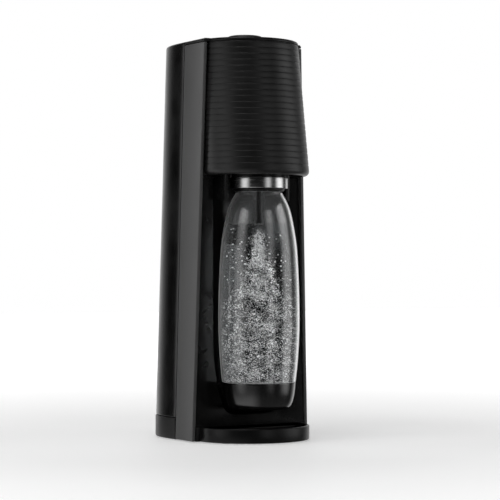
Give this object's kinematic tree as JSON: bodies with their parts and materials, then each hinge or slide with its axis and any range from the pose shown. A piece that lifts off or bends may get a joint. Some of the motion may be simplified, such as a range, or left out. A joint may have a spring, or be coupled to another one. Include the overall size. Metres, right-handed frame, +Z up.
{
  "type": "soda carbonator",
  "caption": "Slim manual countertop soda maker with a clear bottle in a tilting holder, a top button and a gas cylinder behind a lift-off back.",
  "frame": {"origin": "on the standing surface, under the middle of the whole machine", "axes": "+Z up, the user and the bottle at -Y, the gas cylinder at +Y, the machine's right side at +X"},
  "size_m": [0.147, 0.1881, 0.438],
  "materials": {
    "satin_black": "satin moulded black plastic",
    "tray_black": "fine-grained black plastic",
    "dark_plastic": "plain black moulding",
    "rubber": "soft black rubber",
    "screw_steel": "zinc-plated screws",
    "frame_plastic": "dark grey moulded plastic",
    "wall_black": "semi-gloss black moulding",
    "panel_grey": "satin black-grey moulded panel",
    "ribbed_black": "satin black with fine horizontal ribs",
    "bezel_grey": "thin grey ring",
    "button_black": "satin black plastic",
    "spring_steel": "bright steel",
    "lever_metal": "cast lever",
    "brass": "turned brass",
    "tube_plastic": "natural pressure tube",
    "holder_black": "gloss black plastic",
    "nozzle_black": "black tube",
    "collar_steel": "steel brushed round its axis",
    "bottle_clear": "clear bottle plastic",
    "cup_black": "gloss black cup",
    "cylinder_paint": "grey enamelled aluminium cylinder",
    "lever_pink": "coloured plastic lever",
    "cover_black": "semi-gloss black cover"
  },
  "bodies": {
    "tower": {"base_shell": "satin_black", "bottom_plate": "dark_plastic", "feet": "rubber", "base_screws": "screw_steel", "frame_left": "frame_plastic", "frame_right": "frame_plastic", "frame_bracket": "frame_plastic", "holder_deck": "frame_plastic", "spring_deck": "frame_plastic", "valve_deck": "frame_plastic", "frame_screws": "screw_steel", "back_wall": "wall_black", "left_side_panel": "panel_grey", "right_side_panel": "panel_grey", "head_shell": "ribbed_black", "head_underside": "dark_plastic", "top_cover": "satin_black", "button_bezel": "bezel_grey", "lever_spring": "spring_steel", "lever_pin": "spring_steel", "gas_block": "brass", "gas_block_seal": "rubber", "relief_valve": "brass", "gas_tube": "tube_plastic", "gas_elbow": "brass", "holder_pins": "spring_steel", "holder_detent": "spring_steel", "cylinder_seat": "dark_plastic", "lock_lever_pins": "spring_steel"},
    "tray": {"drip_tray": "tray_black"},
    "button": {"carbonating_button": "button_black"},
    "lever": {"actuator_lever": "lever_metal"},
    "plunger": {"valve_plunger": "spring_steel"},
    "holder": {"holder_yoke": "holder_black", "carbonation_head": "holder_black", "neck_seal": "rubber", "nozzle_tube": "nozzle_black", "nozzle_tip": "nozzle_black", "steel_collar": "collar_steel", "lower_ring": "holder_black"},
    "bottle": {"bottle": "bottle_clear", "bottle_cup": "cup_black"},
    "cylinder": {"gas_cylinder": "cylinder_paint", "cylinder_valve": "brass"},
    "lock": {"lock_lever": "lever_pink"},
    "cover": {"rear_cover": "cover_black"},
    "latch_button": {"cover_button": "button_black"}
  },
  "joints": [
    {"name": "button_press", "type": "slide", "parent": "tower", "child": "button", "axis": [0, 0, -1], "range_m": [0, 0.006], "stiffness_N_per_m": 900},
    {"name": "lever_swing", "type": "hinge", "parent": "tower", "child": "lever", "pos_m": [0, 0.072, 0.413], "axis": [1, 0, 0], "range_deg": [0, 3.95], "deforming": ["lever_spring"]},
    {"name": "plunger_press", "type": "slide", "parent": "tower", "child": "plunger", "axis": [0, 0, -1], "range_m": [0, 0.00178]},
    {"name": "holder_tilt", "type": "hinge", "parent": "tower", "child": "holder", "pos_m": [0, -0.0365, 0.306], "axis": [-1, 0, 0], "range_deg": [0, 15]},
    {"name": "bottle_drop", "type": "slide", "parent": "holder", "child": "bottle", "axis": [0, 0, -1], "range_m": [0, 0.0048]},
    {"name": "tray_lift", "type": "slide", "parent": "tower", "child": "tray", "axis": [0, 0, 1], "range_m": [0, 0.008]},
    {"name": "cover_pull", "type": "slide", "parent": "tower", "child": "cover", "axis": [0, 1, 0], "range_m": [0, 0.06]},
    {"name": "cover_button_press", "type": "slide", "parent": "cover", "child": "latch_button", "axis": [0, -1, 0], "range_m": [0, 0.0025], "stiffness_N_per_m": 900},
    {"name": "cylinder_drop", "type": "slide", "parent": "tower", "child": "cylinder", "axis": [0, 0, -1], "range_m": [0, 0.003]},
    {"name": "lock_swing", "type": "hinge", "parent": "tower", "child": "lock", "pos_m": [0, 0.046, 0.383], "axis": [1, 0, 0], "range_deg": [0, 35]}
  ],
  "couplings": [
    {"joint": "lever_swing", "follows": "button_press", "rad_per_m": 11.364},
    {"joint": "plunger_press", "follows": "button_press", "ratio": 0.29545},
    {"joint": "lock_swing", "follows": "cylinder_drop", "rad_per_m": 203}
  ]
}
